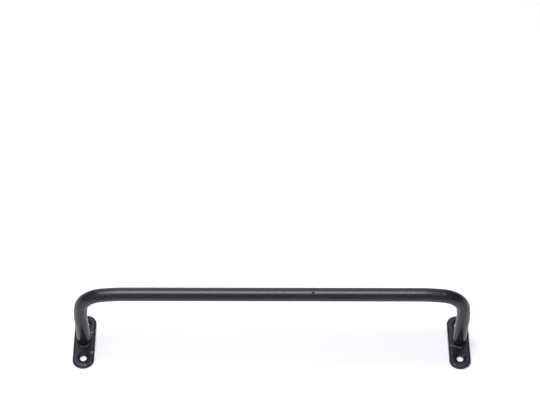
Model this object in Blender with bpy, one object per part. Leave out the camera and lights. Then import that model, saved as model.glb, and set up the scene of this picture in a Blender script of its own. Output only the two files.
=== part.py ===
"""Bed assist rail: one bent steel tube welded to two screw-down foot plates.

Frame: the origin is midway between the feet, on the surface that they are screwed to.
+X runs along the grip bar, +Z points out of the surface. Lengths are in metres and
angles in degrees.
"""

from math import ceil, cos, pi, radians, sin, tan

import bmesh
import bpy

# Grip tube
TUBE_DIAMETER = 0.0213
TUBE_WALL = 0.002
LEG_SPACING = 0.600         # between the axes of the two legs
BAR_HEIGHT = 0.1436         # from the surface to the axis of the straight bar
BEND_RADIUS = 0.0403        # middle of each bend, at the tube's axis
EASE_RADIUS = 0.225         # gentle start and end of each bend
EASE_ANGLE = 10.0           # turn that each gentle stretch makes

# Foot plates
FOOT_LENGTH = 0.097
FOOT_WIDTH = 0.034
FOOT_THICKNESS = 0.006
FOOT_END_BULGE = 0.0148     # how far each rounded end stands out from the straight sides
TOP_EDGE_RADIUS = 0.0032
BOTTOM_CHAMFER = 0.0005

# Countersunk screw holes, one on each side of the leg
HOLE_SPACING = 0.062
HOLE_DIAMETER = 0.011
SINK_DIAMETER = 0.0195
SINK_ANGLE = 118.0          # cone angle, as a drill point leaves it
CUTTER_MARGIN = 0.001       # how far a cutter stands out of the faces it cuts

# Fillet weld round the bottom of each leg
WELD_LEG = 0.0036
WELD_CROWN = 0.0005         # how far the weld's face bulges past a straight chamfer

# Fineness of the curved surfaces
TUBE_SIDES = 32
BEND_STEP_ANGLE = 6.0
END_STEPS = 20
EDGE_STEPS = 4
HOLE_SIDES = 36
WELD_SIDES = 40
WELD_FACE_STEPS = 4

GAP = 0.0003                # clearance between pieces that touch

FOOT_TOP = FOOT_THICKNESS + GAP
SINK_DEPTH = (SINK_DIAMETER - HOLE_DIAMETER) / 2 / tan(radians(SINK_ANGLE / 2))
SIDES = {"left": -1, "right": 1}
HOLES = {"front": -1, "rear": 1}

STEEL_BLACK = (0.020, 0.020, 0.022, 1.0)
WELD_BLACK = (0.024, 0.024, 0.026, 1.0)


def clear_scene():
    for item in list(bpy.data.objects):
        bpy.data.objects.remove(item, do_unlink=True)


def make_material(name, colour, roughness, metallic):
    material = bpy.data.materials.new(name)
    material.use_nodes = True
    shader = material.node_tree.nodes["Principled BSDF"]
    shader.inputs["Base Color"].default_value = colour
    shader.inputs["Roughness"].default_value = roughness
    shader.inputs["Metallic"].default_value = metallic
    return material


def loft(name, rings, closed):
    """Mesh through rings of points that all have the same number of points.

    A closed loft joins its last ring to its first one. An open one gets a flat cap at
    each end.
    """
    shape = bmesh.new()
    loops = [[shape.verts.new(point) for point in ring] for ring in rings]
    count = len(rings[0])
    pairs = list(zip(loops, loops[1:]))
    if closed:
        pairs.append((loops[-1], loops[0]))
    for low, high in pairs:
        for i in range(count):
            j = (i + 1) % count
            shape.faces.new((low[i], low[j], high[j], high[i]))
    if not closed:
        shape.faces.new(reversed(loops[0]))
        shape.faces.new(loops[-1])
    bmesh.ops.recalc_face_normals(shape, faces=shape.faces)
    mesh = bpy.data.meshes.new(name)
    shape.to_mesh(mesh)
    shape.free()
    mesh.shade_smooth()
    mesh.set_sharp_from_angle(angle=radians(35))
    return mesh


def revolve(name, profile, sides, closed):
    """Mesh turned about Z from (radius, height) points."""
    angles = [2 * pi * step / sides for step in range(sides)]
    rings = [[(radius * cos(a), radius * sin(a), height) for a in angles]
             for radius, height in profile]
    return loft(name, rings, closed)


def add_object(name, mesh, material, parent, x=0.0, y=0.0):
    item = bpy.data.objects.new(name, mesh)
    item.location = (x, y, 0.0)
    item.parent = parent
    if material is not None and not mesh.materials:
        mesh.materials.append(material)
    bpy.context.collection.objects.link(item)
    return item


def bend_arcs(start_heading):
    """The (radius, first heading, last heading) of each arc in one 90 degree bend."""
    arcs = []
    heading = start_heading
    for radius, turn in ((EASE_RADIUS, EASE_ANGLE),
                         (BEND_RADIUS, 90.0 - 2 * EASE_ANGLE),
                         (EASE_RADIUS, EASE_ANGLE)):
        arcs.append((radius, heading, heading - turn))
        heading -= turn
    return arcs


def arc_move(radius, first, last):
    """Travel along X and Z on an arc that turns from one heading down to another."""
    a = radians(first)
    b = radians(last)
    return radius * (sin(a) - sin(b)), radius * (cos(b) - cos(a))


def centreline():
    """Stations (x, z, heading) on the tube's axis, from the left foot to the right one."""
    reach = sum(arc_move(*arc)[0] for arc in bend_arcs(90.0))
    bar_end = LEG_SPACING / 2 - reach
    leg_top = BAR_HEIGHT - reach
    stations = [(-LEG_SPACING / 2, FOOT_TOP, 90.0)]
    for x, z, heading in ((-LEG_SPACING / 2, leg_top, 90.0), (bar_end, BAR_HEIGHT, 0.0)):
        stations.append((x, z, heading))
        for radius, first, last in bend_arcs(heading):
            steps = max(2, ceil((first - last) / BEND_STEP_ANGLE))
            for step in range(1, steps + 1):
                turned = first + (last - first) * step / steps
                dx, dz = arc_move(radius, first, turned)
                stations.append((x + dx, z + dz, turned))
            x, z, _ = stations[-1]
    stations.append((LEG_SPACING / 2, FOOT_TOP, -90.0))
    return stations


def tube_ring(station, radius):
    """Circle of points round one station, square to the tube's axis."""
    x, z, heading = station
    across = (-sin(radians(heading)), cos(radians(heading)))
    ring = []
    for step in range(TUBE_SIDES):
        angle = 2 * pi * step / TUBE_SIDES
        reach = radius * cos(angle)
        ring.append((x + reach * across[0], radius * sin(angle), z + reach * across[1]))
    return ring


def tube_mesh():
    """Outer skin out along the axis and bore back along it, so both ends stay open."""
    stations = centreline()
    outer = [tube_ring(station, TUBE_DIAMETER / 2) for station in stations]
    bore = [tube_ring(station, TUBE_DIAMETER / 2 - TUBE_WALL) for station in reversed(stations)]
    return loft("grip_tube", outer + bore, closed=True)


def foot_outline(inset, height):
    """Outline of a foot plate, drawn in from its full size: straight sides, oval ends."""
    half_width = FOOT_WIDTH / 2 - inset
    bulge = FOOT_END_BULGE - inset
    straight_end = FOOT_LENGTH / 2 - FOOT_END_BULGE
    points = []
    for end in (1, -1):
        for step in range(END_STEPS + 1):
            angle = pi * step / END_STEPS
            x = end * half_width * cos(angle)
            y = end * (straight_end + bulge * sin(angle))
            points.append((x, y, height))
    return points


def foot_mesh():
    rings = [foot_outline(BOTTOM_CHAMFER, 0.0), foot_outline(0.0, BOTTOM_CHAMFER)]
    for step in range(EDGE_STEPS + 1):
        angle = pi / 2 * step / EDGE_STEPS
        inset = TOP_EDGE_RADIUS * (1 - cos(angle))
        height = FOOT_THICKNESS - TOP_EDGE_RADIUS * (1 - sin(angle))
        rings.append(foot_outline(inset, height))
    return loft("foot_plate", rings, closed=False)


def hole_mesh():
    """Cutter for one screw hole: a straight shank with a countersink above it."""
    shank = HOLE_DIAMETER / 2
    sink_start = FOOT_THICKNESS - SINK_DEPTH
    cutter_top = FOOT_THICKNESS + CUTTER_MARGIN
    cutter_radius = shank + (cutter_top - sink_start) * tan(radians(SINK_ANGLE / 2))
    profile = [(shank, -CUTTER_MARGIN), (shank, sink_start), (cutter_radius, cutter_top)]
    return revolve("screw_hole", profile, HOLE_SIDES, closed=False)


def weld_mesh():
    """Ring with a slightly crowned sloping face, standing just clear of tube and plate."""
    inner = TUBE_DIAMETER / 2 + GAP
    profile = [(inner, FOOT_TOP)]
    for step in range(WELD_FACE_STEPS + 1):
        share = step / WELD_FACE_STEPS
        crown = WELD_CROWN * sin(pi * share)
        profile.append((inner + (WELD_LEG - GAP) * (1 - share) + crown,
                        FOOT_TOP + WELD_LEG * share + crown))
    profile.pop()
    profile.append((inner, FOOT_TOP + WELD_LEG))
    return revolve("weld_bead", profile, WELD_SIDES, closed=True)


def cut_holes(foot, side, cutter_mesh, parent):
    for place, end in HOLES.items():
        cutter = add_object(f"cutter_{side}_{place}", cutter_mesh, None, parent,
                            x=SIDES[side] * LEG_SPACING / 2, y=end * HOLE_SPACING / 2)
        cutter.display_type = 'WIRE'
        cutter.hide_render = True
        cut = foot.modifiers.new(f"{place}_hole", 'BOOLEAN')
        cut.operation = 'DIFFERENCE'
        cut.object = cutter


def build():
    clear_scene()
    paint = make_material("black_paint", STEEL_BLACK, roughness=0.36, metallic=0.0)
    painted_weld = make_material("painted_weld", WELD_BLACK, roughness=0.42, metallic=0.0)
    rail = bpy.data.objects.new("bed_assist_rail", None)
    bpy.context.collection.objects.link(rail)

    add_object("grip_tube", tube_mesh(), paint, rail)
    plate = foot_mesh()
    bead = weld_mesh()
    hole = hole_mesh()
    for side, sign in SIDES.items():
        foot = add_object(f"{side}_foot", plate, paint, rail, x=sign * LEG_SPACING / 2)
        cut_holes(foot, side, hole, rail)
        add_object(f"{side}_weld", bead, painted_weld, rail, x=sign * LEG_SPACING / 2)


build()
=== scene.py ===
"""Looks of the bed assist rail: fine painted-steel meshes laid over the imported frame."""

from math import cos, degrees, hypot, pi, radians, sin, tan
from random import Random

import bmesh
import bpy
from mathutils import Matrix, Vector, noise


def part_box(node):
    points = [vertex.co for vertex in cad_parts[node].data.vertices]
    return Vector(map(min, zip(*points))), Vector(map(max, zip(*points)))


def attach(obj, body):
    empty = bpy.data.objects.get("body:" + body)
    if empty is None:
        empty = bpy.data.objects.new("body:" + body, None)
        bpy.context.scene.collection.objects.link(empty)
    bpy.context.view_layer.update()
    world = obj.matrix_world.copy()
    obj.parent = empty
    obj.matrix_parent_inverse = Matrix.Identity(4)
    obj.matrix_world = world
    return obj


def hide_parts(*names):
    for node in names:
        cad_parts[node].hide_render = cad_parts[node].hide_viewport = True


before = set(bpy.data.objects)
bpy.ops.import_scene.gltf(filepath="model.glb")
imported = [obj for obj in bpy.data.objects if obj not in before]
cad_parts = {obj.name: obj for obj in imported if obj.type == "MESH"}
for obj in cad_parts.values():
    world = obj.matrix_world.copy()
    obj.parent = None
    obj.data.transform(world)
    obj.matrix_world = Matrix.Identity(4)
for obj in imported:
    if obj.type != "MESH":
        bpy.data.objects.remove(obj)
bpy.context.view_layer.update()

# ---------------------------------------------------------------- sizes, in metres
# The bar runs along X, the camera looks from -Y and the floor is at Z = 0. Outer sizes
# come from the frame, and the others repeat the design's own. Angles are in degrees.
SIDES = {"left": -1, "right": 1}

TUBE_LOW, TUBE_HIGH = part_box("grip_tube")
TUBE_RADIUS = (TUBE_HIGH[1] - TUBE_LOW[1]) / 2
TUBE_WALL = 0.002
LEG_X = TUBE_HIGH[0] - TUBE_RADIUS      # axis of the right leg
BAR_Z = TUBE_HIGH[2] - TUBE_RADIUS      # axis of the bar
BEND_RADIUS = 0.0403        # main arc of each bend
EASE_RADIUS = 0.225         # gentle arcs that lead into the main arc and out of it
EASE_ANGLE = 10.0           # turn of each gentle arc

FOOT_LOW, FOOT_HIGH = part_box("right_foot")
FOOT_WIDTH = FOOT_HIGH[0] - FOOT_LOW[0]
FOOT_LENGTH = FOOT_HIGH[1] - FOOT_LOW[1]
FOOT_TOP = FOOT_HIGH[2]
FOOT_END_BULGE = 0.0148     # how far each rounded end reaches past the straight sides
TOP_EDGE_RADIUS = 0.0032
BOTTOM_EDGE_RADIUS = 0.0005
HOLE_SPACING = 0.062
HOLE_RADIUS = 0.0055
SINK_RADIUS = 0.00975
SINK_ANGLE = 118.0
SINK_DEPTH = (SINK_RADIUS - HOLE_RADIUS) / tan(radians(SINK_ANGLE / 2))

# ---------------------------------------------------------------- coats of paint
PAINT = (0.0100, 0.0100, 0.0135)
THIN_PAINT_GAIN = 1.5       # how much lighter the coat looks where it is thin
THIN_PAINT = tuple(THIN_PAINT_GAIN * part for part in PAINT)
DUST = (0.060, 0.060, 0.065)
BARE = (0.003, 0.003, 0.004)
PAINT_IOR = 1.5

# Noise, and the windows of its values over which each effect comes in
CLOUD_SCALE = 45.0
CLOUD_DETAIL = 4.0
DULL_WINDOW = (0.30, 0.70)
THIN_WINDOW = (0.40, 0.75)
DUST_SCALE = 1100.0
DUST_DETAIL = 1.0
DUST_WINDOW = (0.70, 0.78)

# Roughness of each coat, and how far clouds move it up and down
TUBE_ROUGHNESS = 0.29
TUBE_CLOUDING = 0.04
PLATE_ROUGHNESS = 0.22
PLATE_CLOUDING = 0.06
WELD_ROUGHNESS = 0.38
WELD_CLOUDING = 0.08

# Unevenness of each coat: noise scale, detail, roughness, bump height, bump strength
TUBE_UNEVENNESS = ((130.0, 1.0, 0.5, 0.0004, 0.10), (620.0, 2.0, 0.5, 0.0001, 0.08))
PLATE_UNEVENNESS = ((330.0, 1.0, 0.4, 0.0004, 1.00), (900.0, 1.0, 0.5, 0.0001, 0.50))
WELD_UNEVENNESS = ((210.0, 1.0, 0.5, 0.0010, 0.50), (520.0, 2.0, 0.5, 0.0004, 0.60))

# The bar and the welds mirror alike, and the legs mirror less and are more polished low
# down. Each window is a pair of heights.
TUBE_SPECULAR = 0.42
PLATE_SPECULAR = 0.38
LEG_SPECULAR = 0.275
LEG_SPECULAR_WINDOW = (BAR_Z - 0.036, BAR_Z - 0.006)
LEG_POLISH = 0.80           # roughness of the legs' lower ends, as a share of the bar's
LEG_POLISH_WINDOW = (BAR_Z - 0.100, BAR_Z - 0.050)

# Lines left by drawing the tube: clear on the bends, and fading along the bar and legs
UNBENT = "unbent"           # each point's place on the straight tube, before it was bent
LINE_STRETCH = (0.16, 1.0, 1.0)     # shares of the noise's rate along and across the tube
LINE_SCALE = 420.0
LINE_DETAIL = 3.0
LINE_HEIGHT = 0.0008
LINE_STRENGTH = 0.55
LINE_END_WINDOW = (LEG_X - 0.075, LEG_X - 0.035)
LINE_SHARE_ON_BAR = 0.06
LINE_UPPER_WINDOW = (BAR_Z - 0.085, BAR_Z - 0.045)
LINE_SHARE_ON_LEGS = 0.30

# Dents in the tube's coat, from the middle of the bar and in degrees in front of its top:
# (distance along, angle, half-length, half-width, depth)
DENTS = (
    (-0.1530, 14, 0.0030, 0.0016, 0.00010),
    (-0.0952, 16, 0.0012, 0.0016, 0.00010),
    (-0.0890, 16, 0.0014, 0.0016, 0.00010),
    (0.0068, 14, 0.0048, 0.0020, 0.00022),
    (0.0172, 12, 0.0016, 0.0014, 0.00014),
    (0.0225, 15, 0.0016, 0.0016, 0.00010),
    (0.1495, 64, 0.0030, 0.0024, 0.00012),
    (0.2500, 22, 0.0034, 0.0018, 0.00016),
    (0.2598, 16, 0.0052, 0.0022, 0.00040),
)
CHIP = (0.0625, 16, 0.0020, 0.0017, 0.00060)    # where the paint is off, as a row of DENTS
CHIP_SPECULAR = 0.05        # share of the specular level that is left in the chip
MARK_PLATEAU = 0.35         # share of a mark's size over which it has its full depth
MARK_WARP = (640.0, 0.0034)     # noise scale and reach that make its outline ragged
WARP_DETAIL = 2.0
NOISE_MIDDLE = (0.5, 0.5, 0.5)

# Small facets in the coat of the feet, each tipped towards -Y: centre and half-sizes
FACETS = (
    ((-LEG_X + 0.0136, -0.0218, FOOT_TOP), (0.0030, 0.0048, 0.004)),
    ((-LEG_X + 0.0064, -0.0442, FOOT_TOP), (0.0058, 0.0030, 0.004)),
    ((-LEG_X + 0.0088, 0.0150, FOOT_TOP), (0.0070, 0.0024, 0.003)),
    ((LEG_X - 0.0038, -0.0455, FOOT_TOP), (0.0046, 0.0022, 0.004)),
    ((LEG_X - 0.0128, -0.0080, FOOT_TOP), (0.0030, 0.0026, 0.003)),
)
FACET_SLOPE = 0.36          # rise over run
FACET_PLATEAU = 0.30        # as MARK_PLATEAU
FACET_WARP = (330.0, 0.0034)    # as MARK_WARP


# ---------------------------------------------------------------- shader helpers
def feed(tree, socket, value):
    """Gives a socket a plain value, or links it to another node's output."""
    if isinstance(value, bpy.types.NodeSocket):
        tree.links.new(value, socket)
    elif socket.type == 'RGBA':
        socket.default_value = (*value, 1.0)
    else:
        socket.default_value = value


def new_material(name):
    material = bpy.data.materials.new(name)
    material.use_nodes = True
    return material


def set_surface(material, values):
    """Feeds the named sockets of a material's shader."""
    tree = material.node_tree
    for name, value in values.items():
        feed(tree, tree.nodes["Principled BSDF"].inputs[name], value)


def add_noise(tree, coords, scale, detail, roughness=0.5, output="Fac"):
    node = tree.nodes.new("ShaderNodeTexNoise")
    node.inputs["Scale"].default_value = scale
    node.inputs["Detail"].default_value = detail
    node.inputs["Roughness"].default_value = roughness
    tree.links.new(coords, node.inputs["Vector"])
    return node.outputs[output]


def remap(tree, value, window, to_low=0.0, to_high=1.0, interpolation='LINEAR'):
    """Moves from one value to the other across a window, and stays there beyond it."""
    node = tree.nodes.new("ShaderNodeMapRange")
    node.interpolation_type = interpolation
    node.inputs["From Min"].default_value = window[0]
    node.inputs["From Max"].default_value = window[1]
    node.inputs["To Min"].default_value = to_low
    node.inputs["To Max"].default_value = to_high
    tree.links.new(value, node.inputs["Value"])
    return node.outputs["Result"]


def add_bump(tree, height, distance, strength=1.0, normal=None):
    node = tree.nodes.new("ShaderNodeBump")
    node.inputs["Distance"].default_value = distance
    node.inputs["Strength"].default_value = strength
    tree.links.new(height, node.inputs["Height"])
    if normal is not None:
        tree.links.new(normal, node.inputs["Normal"])
    return node.outputs["Normal"]


def add_unevenness(tree, coords, layers):
    """Normal of a coat, bumped by each layer of noise in turn."""
    normal = None
    for scale, detail, roughness, height, strength in layers:
        lumps = add_noise(tree, coords, scale, detail, roughness)
        normal = add_bump(tree, lumps, height, strength, normal)
    return normal


def color_ramp(tree, value, stops):
    """Colours at rising positions, eased from one to the next."""
    node = tree.nodes.new("ShaderNodeValToRGB")
    node.color_ramp.interpolation = 'EASE'
    elements = node.color_ramp.elements
    while len(elements) < len(stops):
        elements.new(1.0)
    for element, (position, colour) in zip(elements, stops):
        element.position = position
        element.color = (*colour, 1.0)
    tree.links.new(value, node.inputs["Fac"])
    return node.outputs["Color"]


def mix_colours(tree, factor, first, second):
    node = tree.nodes.new("ShaderNodeMix")
    node.data_type = 'RGBA'
    for name, value in (("Factor", factor), ("A", first), ("B", second)):
        feed(tree, node.inputs[name], value)
    return node.outputs["Result"]


def add_math(tree, operation, first, second):
    node = tree.nodes.new("ShaderNodeMath")
    node.operation = operation
    feed(tree, node.inputs[0], first)
    feed(tree, node.inputs[1], second)
    return node.outputs["Value"]


def add_vector_math(tree, operation, *values):
    node = tree.nodes.new("ShaderNodeVectorMath")
    node.operation = operation
    for socket, value in zip(node.inputs, values):
        feed(tree, socket, value)
    return node.outputs["Value" if operation == 'LENGTH' else "Vector"]


def split_xyz(tree, vector):
    node = tree.nodes.new("ShaderNodeSeparateXYZ")
    tree.links.new(vector, node.inputs["Vector"])
    return node.outputs


def warp(tree, coords, scale, reach):
    """Coordinates shaken by noise, which makes the outline of a spot ragged."""
    colour = add_noise(tree, coords, scale, WARP_DETAIL, output="Color")
    shake = add_vector_math(tree, 'SUBTRACT', colour, NOISE_MIDDLE)
    shake = add_vector_math(tree, 'MULTIPLY', shake, (reach, reach, reach))
    return add_vector_math(tree, 'ADD', coords, shake)


def spot(tree, coords, centre, radii, plateau):
    """1 near the centre, easing to 0 at the given distances from it."""
    offset = add_vector_math(tree, 'SUBTRACT', coords, centre)
    scaled = add_vector_math(tree, 'MULTIPLY', offset, tuple(1 / radius for radius in radii))
    distance = add_vector_math(tree, 'LENGTH', scaled)
    return remap(tree, distance, (1.0, plateau), interpolation='SMOOTHSTEP')


# ---------------------------------------------------------------- materials
def powder_coat(tree, coords, roughness, clouding):
    """Colour and roughness of satin black paint: cloudy, slightly blue, with fine dust."""
    clouds = add_noise(tree, coords, CLOUD_SCALE, CLOUD_DETAIL)
    dull = remap(tree, clouds, DULL_WINDOW, roughness - clouding, roughness + clouding)
    specks = remap(tree, add_noise(tree, coords, DUST_SCALE, DUST_DETAIL), DUST_WINDOW)
    colour = mix_colours(tree, remap(tree, clouds, THIN_WINDOW), PAINT, THIN_PAINT)
    return mix_colours(tree, specks, colour, DUST), dull


def draw_lines(tree, unbent, from_middle, up):
    """Relief of the lines along the tube, by distance from its middle and by height."""
    stretched = add_vector_math(tree, 'MULTIPLY', unbent, LINE_STRETCH)
    ends = remap(tree, from_middle, LINE_END_WINDOW, LINE_SHARE_ON_BAR, 1.0)
    upper = remap(tree, up, LINE_UPPER_WINDOW, LINE_SHARE_ON_LEGS, 1.0)
    shown = add_math(tree, 'MULTIPLY', ends, upper)
    lines = add_noise(tree, stretched, LINE_SCALE, LINE_DETAIL)
    return add_math(tree, 'MULTIPLY', lines, shown)


def mark(tree, unbent, values):
    """Mask of one small mark on the straight tube, from a row of DENTS."""
    along, angle, half_length, half_width, _ = values
    place = (along, TUBE_RADIUS * cos(radians(angle)), -TUBE_RADIUS * sin(radians(angle)))
    return spot(tree, unbent, place, (half_length, half_width, half_width), MARK_PLATEAU)


def tube_paint(name):
    """Smooth coat over drawn tube, with draw lines on the bends, small dents and one chip."""
    material = new_material(name)
    tree = material.node_tree
    coords = tree.nodes.new("ShaderNodeTexCoord").outputs["Object"]
    colour, dull = powder_coat(tree, coords, TUBE_ROUGHNESS, TUBE_CLOUDING)
    attribute = tree.nodes.new("ShaderNodeAttribute")
    attribute.attribute_name = UNBENT
    unbent = attribute.outputs["Vector"]
    from_middle, _, up = split_xyz(tree, add_vector_math(tree, 'ABSOLUTE', coords))

    normal = add_unevenness(tree, coords, TUBE_UNEVENNESS)
    lines = draw_lines(tree, unbent, from_middle, up)
    normal = add_bump(tree, lines, LINE_HEIGHT, LINE_STRENGTH, normal)
    ragged = warp(tree, unbent, *MARK_WARP)
    for dent in DENTS:
        normal = add_bump(tree, mark(tree, ragged, dent), -dent[-1], normal=normal)
    chip = mark(tree, ragged, CHIP)
    normal = add_bump(tree, chip, -CHIP[-1], normal=normal)

    polish = remap(tree, up, LEG_POLISH_WINDOW, LEG_POLISH, 1.0)
    mirror = remap(tree, up, LEG_SPECULAR_WINDOW, LEG_SPECULAR, TUBE_SPECULAR)
    sound = remap(tree, chip, (0.0, 1.0), 1.0, CHIP_SPECULAR)
    set_surface(material, {
        "Base Color": mix_colours(tree, chip, colour, BARE),
        "Roughness": add_math(tree, 'MULTIPLY', dull, polish),
        "IOR": PAINT_IOR,
        "Specular IOR Level": add_math(tree, 'MULTIPLY', mirror, sound),
        "Normal": normal,
    })
    return material


def plate_paint(name):
    """Thick coat over rough plate: soft lumps, fine grain and a few facets."""
    material = new_material(name)
    tree = material.node_tree
    coords = tree.nodes.new("ShaderNodeTexCoord").outputs["Object"]
    colour, dull = powder_coat(tree, coords, PLATE_ROUGHNESS, PLATE_CLOUDING)
    normal = add_unevenness(tree, coords, PLATE_UNEVENNESS)
    _, along, _ = split_xyz(tree, coords)
    ragged = warp(tree, coords, *FACET_WARP)
    for centre, radii in FACETS:
        mask = spot(tree, ragged, centre, radii, FACET_PLATEAU)
        climb = add_math(tree, 'SUBTRACT', along, centre[1])
        tipped = add_math(tree, 'MULTIPLY', mask, climb)
        normal = add_bump(tree, tipped, FACET_SLOPE, normal=normal)
    set_surface(material, {"Base Color": colour, "Roughness": dull, "IOR": PAINT_IOR,
                           "Specular IOR Level": PLATE_SPECULAR, "Normal": normal})
    return material


def weld_paint(name):
    """The same paint over a hand-laid bead: coarse, knobbly and a little duller."""
    material = new_material(name)
    tree = material.node_tree
    coords = tree.nodes.new("ShaderNodeTexCoord").outputs["Object"]
    colour, dull = powder_coat(tree, coords, WELD_ROUGHNESS, WELD_CLOUDING)
    normal = add_unevenness(tree, coords, WELD_UNEVENNESS)
    set_surface(material, {"Base Color": colour, "Roughness": dull, "IOR": PAINT_IOR,
                           "Specular IOR Level": TUBE_SPECULAR, "Normal": normal})
    return material


# ---------------------------------------------------------------- mesh helpers
LOFT_SHARP_ANGLE = 35.0


def smooth(mesh, sharp_angle):
    """Shades a mesh smooth, except across edges sharper than the given angle."""
    mesh.shade_smooth()
    mesh.set_sharp_from_angle(angle=radians(sharp_angle))


def loft(name, rings, closed):
    """Mesh through rings: closed, the last ring joins the first, or else both are capped."""
    shape = bmesh.new()
    loops = [[shape.verts.new(point) for point in ring] for ring in rings]
    count = len(rings[0])
    pairs = list(zip(loops, loops[1:]))
    if closed:
        pairs.append((loops[-1], loops[0]))
    for low, high in pairs:
        for i in range(count):
            j = (i + 1) % count
            shape.faces.new((low[i], low[j], high[j], high[i]))
    if not closed:
        shape.faces.new(reversed(loops[0]))
        shape.faces.new(loops[-1])
    bmesh.ops.recalc_face_normals(shape, faces=shape.faces)
    mesh = bpy.data.meshes.new(name)
    shape.to_mesh(mesh)
    shape.free()
    smooth(mesh, LOFT_SHARP_ANGLE)
    return mesh


def add_object(name, data):
    item = bpy.data.objects.new(name, data)
    bpy.context.collection.objects.link(item)
    return item


def add_piece(name, mesh, material, node):
    """Puts a finished mesh in the scene as the piece that stands for one CAD node."""
    piece = add_object(name, mesh)
    mesh.materials.append(material)
    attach(piece, "root")
    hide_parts(node)


# ---------------------------------------------------------------- grip tube
TUBE_SIDES = 96
BEND_STEP_ANGLE = 1.5


def bend_arcs(heading):
    """The three arcs of a bend from a heading: (radius, first heading, last heading)."""
    arcs = []
    for radius, turn in ((EASE_RADIUS, EASE_ANGLE),
                         (BEND_RADIUS, 90.0 - 2 * EASE_ANGLE),
                         (EASE_RADIUS, EASE_ANGLE)):
        arcs.append((radius, heading, heading - turn))
        heading -= turn
    return arcs


def arc_move(radius, first, last):
    """How far in X and Z an arc goes, between two headings."""
    a = radians(first)
    b = radians(last)
    return radius * (sin(a) - sin(b)), radius * (cos(b) - cos(a))


def centreline():
    """Stations (x, z, heading) on the tube's axis, from the left foot to the right one."""
    reach = sum(arc_move(*arc)[0] for arc in bend_arcs(90.0))
    stations = [(-LEG_X, TUBE_LOW[2], 90.0)]
    for x, z, heading in ((-LEG_X, BAR_Z - reach, 90.0), (LEG_X - reach, BAR_Z, 0.0)):
        stations.append((x, z, heading))
        for radius, first, last in bend_arcs(heading):
            steps = round((first - last) / BEND_STEP_ANGLE)
            for step in range(1, steps + 1):
                turned = first + (last - first) * step / steps
                dx, dz = arc_move(radius, first, turned)
                stations.append((x + dx, z + dz, turned))
            x, z, _ = stations[-1]
    stations.append((LEG_X, TUBE_LOW[2], -90.0))
    return stations


def tube_ring(station, radius):
    """Ring of points round the tube's axis, which starts on the outside of the bends."""
    x, z, heading = station
    across = (-sin(radians(heading)), cos(radians(heading)))
    ring = []
    for step in range(TUBE_SIDES):
        angle = 2 * pi * step / TUBE_SIDES
        reach = radius * cos(angle)
        ring.append((x + reach * across[0], radius * sin(angle), z + reach * across[1]))
    return ring


def run_lengths(stations):
    """Distance along the tube's axis from its middle to each station."""
    runs = [0.0]
    for (x0, z0, _), (x1, z1, _) in zip(stations, stations[1:]):
        runs.append(runs[-1] + hypot(x1 - x0, z1 - z0))
    return [run - runs[-1] / 2 for run in runs]


def unbent_places(stations):
    """The outside's points and then the bore's, as they are on the straight tube."""
    places = []
    for radius, order in ((TUBE_RADIUS, 1), (TUBE_RADIUS - TUBE_WALL, -1)):
        for run in run_lengths(stations)[::order]:
            for step in range(TUBE_SIDES):
                angle = 2 * pi * step / TUBE_SIDES
                places.extend((run, radius * cos(angle), radius * sin(angle)))
    return places


def make_tube(material):
    stations = centreline()
    outside = [tube_ring(station, TUBE_RADIUS) for station in stations]
    bore = [tube_ring(station, TUBE_RADIUS - TUBE_WALL) for station in reversed(stations)]
    mesh = loft("grip_tube_steel", outside + bore, closed=True)
    unbent = mesh.attributes.new(UNBENT, 'FLOAT_VECTOR', 'POINT')
    unbent.data.foreach_set("vector", unbent_places(stations))
    add_piece("grip_tube_steel", mesh, material, "grip_tube")


# ---------------------------------------------------------------- foot plates
END_STEPS = 48
TOP_EDGE_STEPS = 8
BOTTOM_EDGE_STEPS = 4
HOLE_SIDES = 72
CUT_MARGIN = 0.001          # how far a hole's cutter stands out of the plate
FOOT_SHARP_ANGLE = 30.0


def foot_outline(inset, height):
    """Ring of points round a foot at the origin: two half-ellipses and straight sides."""
    half_width = FOOT_WIDTH / 2 - inset
    bulge = FOOT_END_BULGE - inset
    straight_end = FOOT_LENGTH / 2 - FOOT_END_BULGE
    points = []
    for end in (1, -1):
        for step in range(END_STEPS + 1):
            angle = pi * step / END_STEPS
            points.append((end * half_width * cos(angle),
                           end * (straight_end + bulge * sin(angle)), height))
    return points


def foot_rings():
    """Outlines of a foot from its underside to its top, with both edges rounded."""
    rings = []
    for step in range(BOTTOM_EDGE_STEPS + 1):
        angle = pi / 2 * step / BOTTOM_EDGE_STEPS
        rings.append(foot_outline(BOTTOM_EDGE_RADIUS * (1 - sin(angle)),
                                  BOTTOM_EDGE_RADIUS * (1 - cos(angle))))
    for step in range(TOP_EDGE_STEPS + 1):
        angle = pi / 2 * step / TOP_EDGE_STEPS
        rings.append(foot_outline(TOP_EDGE_RADIUS * (1 - cos(angle)),
                                  FOOT_TOP - TOP_EDGE_RADIUS * (1 - sin(angle))))
    return rings


def hole_cutter(x, y):
    """Solid of one screw hole with its countersink."""
    top = FOOT_TOP + CUT_MARGIN
    widest = SINK_RADIUS + CUT_MARGIN * tan(radians(SINK_ANGLE / 2))
    profile = [(HOLE_RADIUS, -CUT_MARGIN), (HOLE_RADIUS, FOOT_TOP - SINK_DEPTH), (widest, top)]
    angles = [2 * pi * step / HOLE_SIDES for step in range(HOLE_SIDES)]
    rings = [[(x + r * cos(a), y + r * sin(a), z) for a in angles] for r, z in profile]
    return add_object("hole_cutter", loft("hole_cutter", rings, closed=False))


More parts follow.
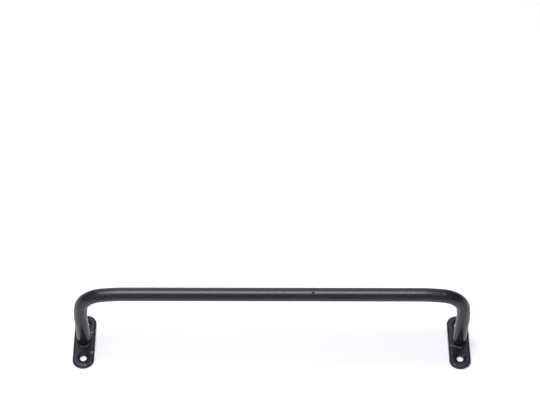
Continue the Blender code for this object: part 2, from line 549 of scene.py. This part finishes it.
def make_foot(side, material):
    x = SIDES[side] * LEG_X
    mesh = loft("foot_blank", foot_rings(), closed=False)
    for vertex in mesh.vertices:
        vertex.co.x += x
    blank = add_object("foot_blank", mesh)
    cutters = [hole_cutter(x, y) for y in (-HOLE_SPACING / 2, HOLE_SPACING / 2)]
    for cutter in cutters:
        cut = blank.modifiers.new("hole", 'BOOLEAN')
        cut.operation = 'DIFFERENCE'
        cut.object = cutter
    depsgraph = bpy.context.evaluated_depsgraph_get()
    plate = bpy.data.meshes.new_from_object(blank.evaluated_get(depsgraph))
    for item in (blank, *cutters):
        bpy.data.objects.remove(item, do_unlink=True)
    plate.name = f"{side}_foot_steel"
    smooth(plate, FOOT_SHARP_ANGLE)
    add_piece(f"{side}_foot_steel", plate, material, f"{side}_foot")


# ---------------------------------------------------------------- weld beads
WELD_STEPS = 240
WELD_SEEDS = {"left": 3, "right": 4}
WELD_OVERLAP = 0.0002       # how far the bead sinks into the tube and the plate
WELD_REACH = 0.0020         # how far the bead stands out from the tube where it is round
WELD_LIMIT = 0.0150         # furthest the toe gets from the leg's axis
WELD_WANDER = ((0.00040, 2.6), (0.00018, 7.0))      # of the toe: size and noise scale
WELD_RISE = 0.0030          # how far the bead climbs the tube
WELD_RISE_WANDER = (0.0007, 2.3)
WELD_RIPPLES = 22
WELD_RIPPLE_HEIGHT = 0.00022
WELD_CROWN = 0.0004         # how far the round part of the bead swells

# Each bead has one straight stretch with a shelf: the direction it faces, its distance
# from the leg's axis, and half the angle it takes up.
WELD_SHELVES = {"left": (-90.0, 0.0125, 46.0), "right": (-106.0, 0.0134, 54.0)}
SHELF_EASE = 0.6            # share of that half angle over which the shelf comes in
SHELF_CALM = 0.5            # share of the toe's wander that the shelf takes away
# The shelf's face from its toe to the tube, as shares of its reach and its rise: a steep
# toe, a ledge that leans outwards and a hollow climb to the tube.
WELD_SHELF = ((0.00, 0.00), (0.00, 0.10), (0.02, 0.16), (0.07, 0.20), (0.16, 0.225),
              (0.28, 0.25), (0.42, 0.275), (0.55, 0.305), (0.65, 0.35), (0.73, 0.42),
              (0.80, 0.51), (0.87, 0.63), (0.93, 0.77), (0.98, 0.90), (1.00, 1.00))


def shelf_share(side, around):
    """1 along the straight stretch of a bead, easing to 0 at its ends."""
    facing, _, half_angle = WELD_SHELVES[side]
    turn = (degrees(around) - facing + 180) % 360 - 180
    share = min(max((half_angle - abs(turn)) / (SHELF_EASE * half_angle), 0.0), 1.0)
    return share * share * (3 - 2 * share)


def weld_reach(side, around):
    """How far the bead's toe is from the tube in one direction."""
    facing, distance, _ = WELD_SHELVES[side]
    share = shelf_share(side, around)
    toe = TUBE_RADIUS + WELD_REACH
    if share > 0:
        straight = distance / cos(around - radians(facing))
        toe += share * (min(straight, WELD_LIMIT) - toe)
    place = Vector((cos(around), sin(around), WELD_SEEDS[side]))
    wander = sum(size * noise.noise(place * scale) for size, scale in WELD_WANDER)
    return min(toe + wander * (1 - SHELF_CALM * share), WELD_LIMIT) - TUBE_RADIUS


def weld_rise(side, around):
    """How far the bead climbs the tube in one direction."""
    size, scale = WELD_RISE_WANDER
    place = Vector((cos(around), sin(around), -WELD_SEEDS[side]))
    return WELD_RISE + size * noise.noise(place * scale)


def weld_face(share):
    """Points of the bead's face, from a plain slope (0) to the shelf (1)."""
    points = []
    for index, (inward, upward) in enumerate(WELD_SHELF):
        even = index / (len(WELD_SHELF) - 1)
        points.append((even + share * (inward - even), even + share * (upward - even)))
    return points


def make_weld(side, material):
    """A hand-laid fillet bead: overlapping ripples, an uneven toe and one shelf."""
    x = SIDES[side] * LEG_X
    inner = TUBE_RADIUS - WELD_OVERLAP
    base = FOOT_TOP - WELD_OVERLAP
    phase = Random(WELD_SEEDS[side]).uniform(0, 2 * pi)
    rings = []
    for step in range(WELD_STEPS):
        around = 2 * pi * step / WELD_STEPS
        share = shelf_share(side, around)
        reach = weld_reach(side, around)
        rise = weld_rise(side, around)
        ripple = WELD_RIPPLE_HEIGHT * abs(sin(WELD_RIPPLES * around / 2 + phase))
        bulge = ripple + WELD_CROWN * (1 - share)
        profile = [(inner, base)]
        for inward, upward in weld_face(share):
            swell = bulge * sin(pi * upward)
            profile.append((inner + reach * (1 - inward) + swell,
                            base + rise * upward + swell))
        rings.append([(x + r * cos(around), r * sin(around), z) for r, z in profile])
    mesh = loft(f"{side}_weld_bead", rings, closed=True)
    add_piece(f"{side}_weld_bead", mesh, material, f"{side}_weld")


# ---------------------------------------------------------------- stage
FLOOR_REACH = 30.0
FLOOR_COLOUR = (0.93, 0.93, 0.93)
FLOOR_ROUGHNESS = 0.9
FLOOR_SPECULAR = 0.2

# The studio, by direction: a pale wall behind the rail that fades towards both sides,
# and a dimmer, cooler room in front of it. Stops run from -X to +X.
WALL_STOPS = ((0.14, (0.07, 0.07, 0.08)), (0.30, (0.28, 0.28, 0.30)),
              (0.42, (1.10, 1.10, 1.07)), (0.50, (1.06, 1.06, 1.03)),
              (0.57, (0.74, 0.74, 0.73)), (0.68, (0.14, 0.14, 0.15)),
              (0.84, (0.05, 0.05, 0.06)))
ROOM_STOPS = ((0.14, (0.20, 0.20, 0.27)), (0.30, (0.42, 0.41, 0.56)),
              (0.48, (0.42, 0.41, 0.56)), (0.60, (0.30, 0.29, 0.40)),
              (0.84, (0.12, 0.12, 0.16)))
WALL_EDGE = 0.24            # the wall gives way to the room from this Y to minus it
BACKDROP = (1.0, 1.0, 1.0)      # what the camera sees past the floor
STUDIO_STRENGTH = 1.19

SOFTBOX_PLACE = (-0.17, 0.08, 1.80)     # it faces straight down
SOFTBOX_SIZE = (1.42, 0.98)
SOFTBOX_RADIANCE = 8.2
SOFTBOX_COLOUR = (0.99, 0.98, 1.03)


def make_floor():
    mesh = bpy.data.meshes.new("floor")
    corners = [(FLOOR_REACH * x, FLOOR_REACH * y, 0)
               for x, y in ((-1, -1), (1, -1), (1, 1), (-1, 1))]
    mesh.from_pydata(corners, [], [(0, 1, 2, 3)])
    material = new_material("pale_floor")
    set_surface(material, {"Base Color": FLOOR_COLOUR, "Roughness": FLOOR_ROUGHNESS,
                           "Specular IOR Level": FLOOR_SPECULAR})
    mesh.materials.append(material)
    floor = add_object("floor", mesh)


def make_studio():
    world = bpy.data.worlds.new("studio")
    bpy.context.scene.world = world
    world.use_nodes = True
    tree = world.node_tree
    direction = tree.nodes.new("ShaderNodeTexCoord").outputs["Generated"]
    sideways, backwards, _ = split_xyz(tree, direction)
    across = remap(tree, sideways, (-1.0, 1.0))
    behind = remap(tree, backwards, (-WALL_EDGE, WALL_EDGE))
    wall = color_ramp(tree, across, WALL_STOPS)
    room = color_ramp(tree, across, ROOM_STOPS)
    studio = mix_colours(tree, behind, room, wall)
    seen = tree.nodes.new("ShaderNodeLightPath").outputs["Is Camera Ray"]
    background = tree.nodes["Background"]
    feed(tree, background.inputs["Color"], mix_colours(tree, seen, studio, BACKDROP))
    feed(tree, background.inputs["Strength"], STUDIO_STRENGTH)


def make_softbox():
    """Rectangular area light that shows its radiance to whatever sees it."""
    width, depth = SOFTBOX_SIZE
    light = bpy.data.lights.new("overhead_softbox", 'AREA')
    light.shape = 'RECTANGLE'
    light.size = width
    light.size_y = depth
    light.energy = SOFTBOX_RADIANCE * pi * width * depth
    light.color = SOFTBOX_COLOUR
    add_object("overhead_softbox", light).location = SOFTBOX_PLACE


# ---------------------------------------------------------------- camera
# The axis of the view meets the floor at AIM, DISTANCE metres away. The lens and the
# sensor are in millimetres.
AIM = (-0.0024, 0.2807, 0.0)
DISTANCE = 2.8164
ELEVATION = 54.17
AZIMUTH = 0.52
ROLL = 0.54
LENS = 110.13
SENSOR = 36.0
CLIP_END = 100.0


def make_camera():
    data = bpy.data.cameras.new("camera")
    data.sensor_width = SENSOR
    data.lens = LENS
    data.clip_end = CLIP_END
    forward = Vector((sin(radians(AZIMUTH)) * cos(radians(ELEVATION)),
                      cos(radians(AZIMUTH)) * cos(radians(ELEVATION)),
                      -sin(radians(ELEVATION))))
    facing = forward.to_track_quat('-Z', 'Y').to_matrix().to_4x4()
    turn = facing @ Matrix.Rotation(radians(ROLL), 4, 'Z')
    camera = add_object("camera", data)
    camera.location = Vector(AIM) - forward * DISTANCE
    camera.rotation_euler = turn.to_euler()
    bpy.context.scene.camera = camera


# ---------------------------------------------------------------- build
make_camera()
bpy.context.scene.view_settings.view_transform = 'Standard'
make_tube(tube_paint("black_powder_coat"))
plate_coat = plate_paint("black_plate_coat")
weld_coat = weld_paint("black_weld_coat")
for side in SIDES:
    make_foot(side, plate_coat)
    make_weld(side, weld_coat)
make_floor()
make_studio()
make_softbox()
